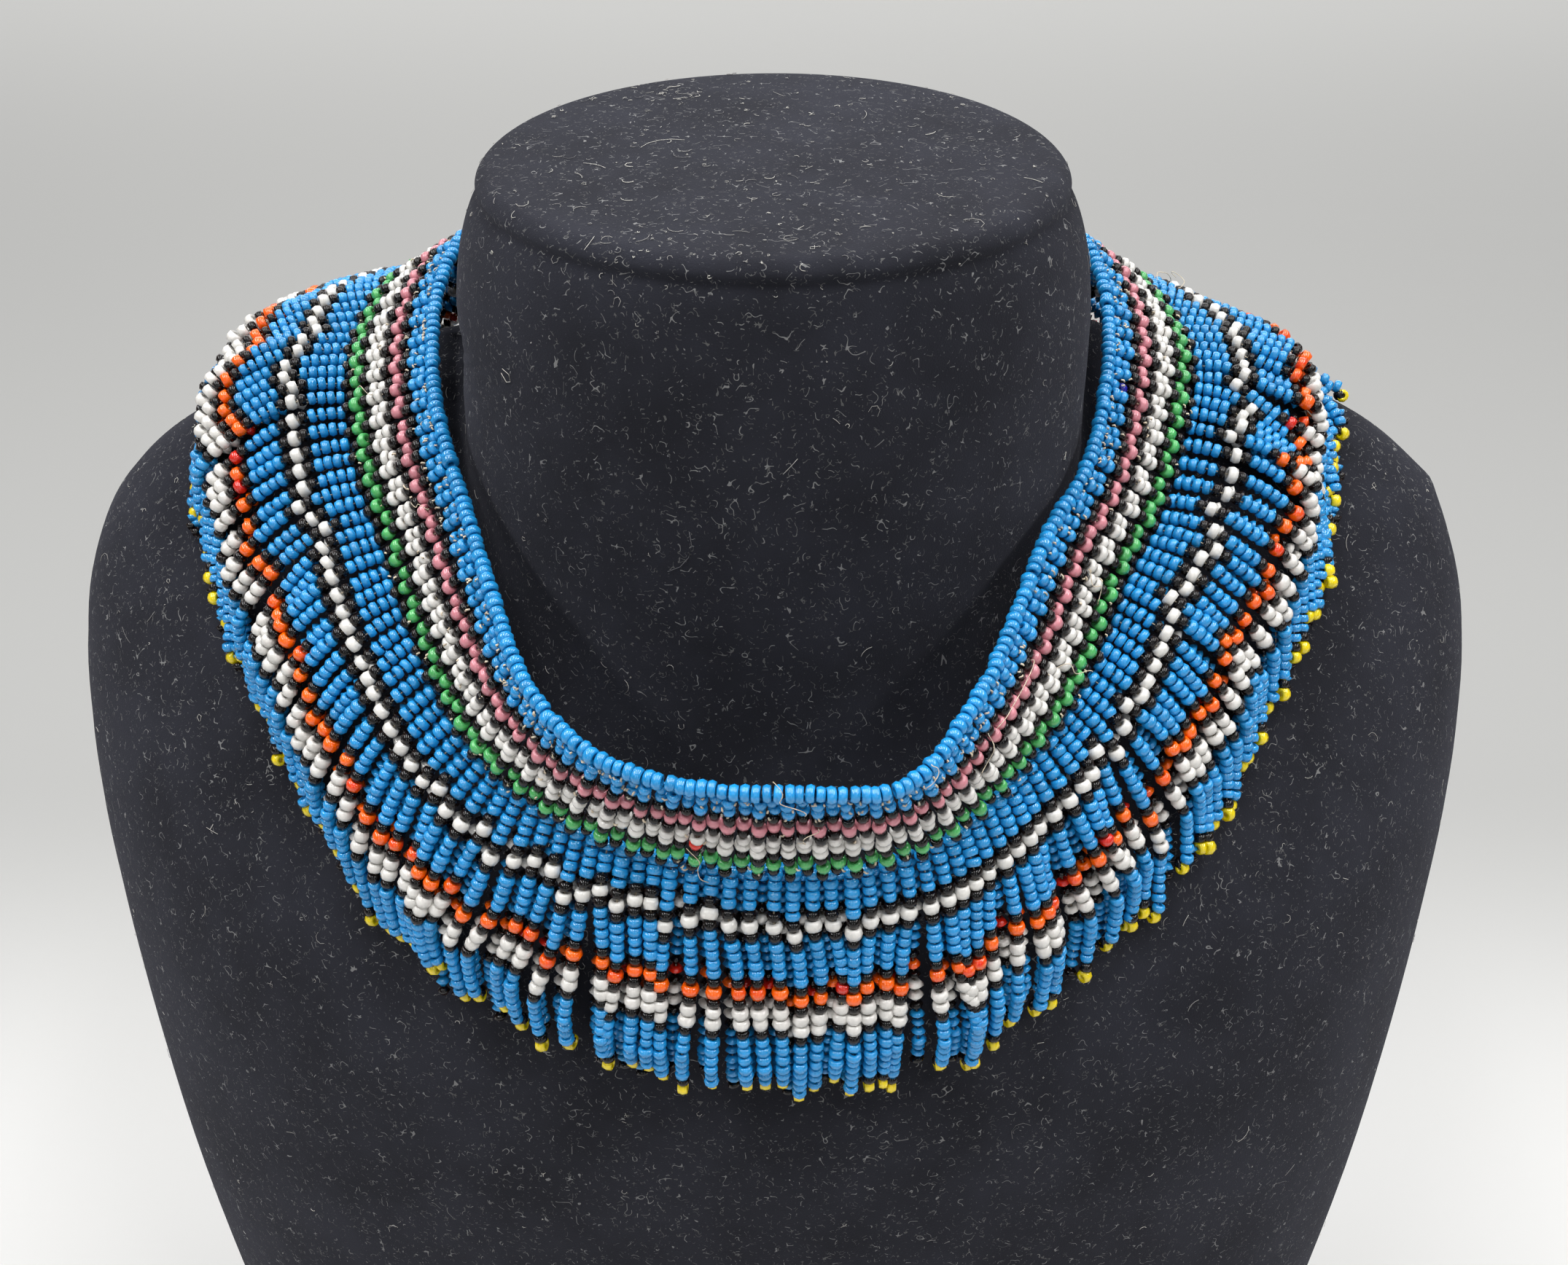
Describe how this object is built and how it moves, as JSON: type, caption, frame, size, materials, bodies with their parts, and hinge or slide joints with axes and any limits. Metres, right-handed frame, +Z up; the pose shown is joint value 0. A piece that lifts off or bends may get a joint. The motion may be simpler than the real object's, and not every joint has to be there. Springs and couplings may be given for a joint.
{
  "type": "beaded collar necklace on a velvet neck bust",
  "caption": "Woven bead collar with a rolled blue rim, striped band and long looped bead fringe, laid on a black velvet neck bust.",
  "frame": {"origin": "on the underside of the bust's flat base, under the middle of the neck top", "axes": "+Z up, the front of the bust faces -Y, +X is to the right as seen from the front"},
  "size_m": [0.2848, 0.1568, 0.314],
  "materials": {
    "neck_bust": "black velvet with lint, matt with a soft sheen",
    "rolled_edge": "opaque glossy blue glass beads",
    "woven_band": "rows of opaque glossy blue, black, pink, white and green glass beads",
    "fringe": "strands of opaque glossy blue, black, white, orange and yellow glass beads",
    "closure_tab": "plain stitched tab"
  },
  "bodies": {
    "root": {"neck_bust": "neck_bust", "rolled_edge": "rolled_edge", "woven_band": "woven_band", "fringe": "fringe", "closure_tab": "closure_tab"}
  },
  "joints": []
}
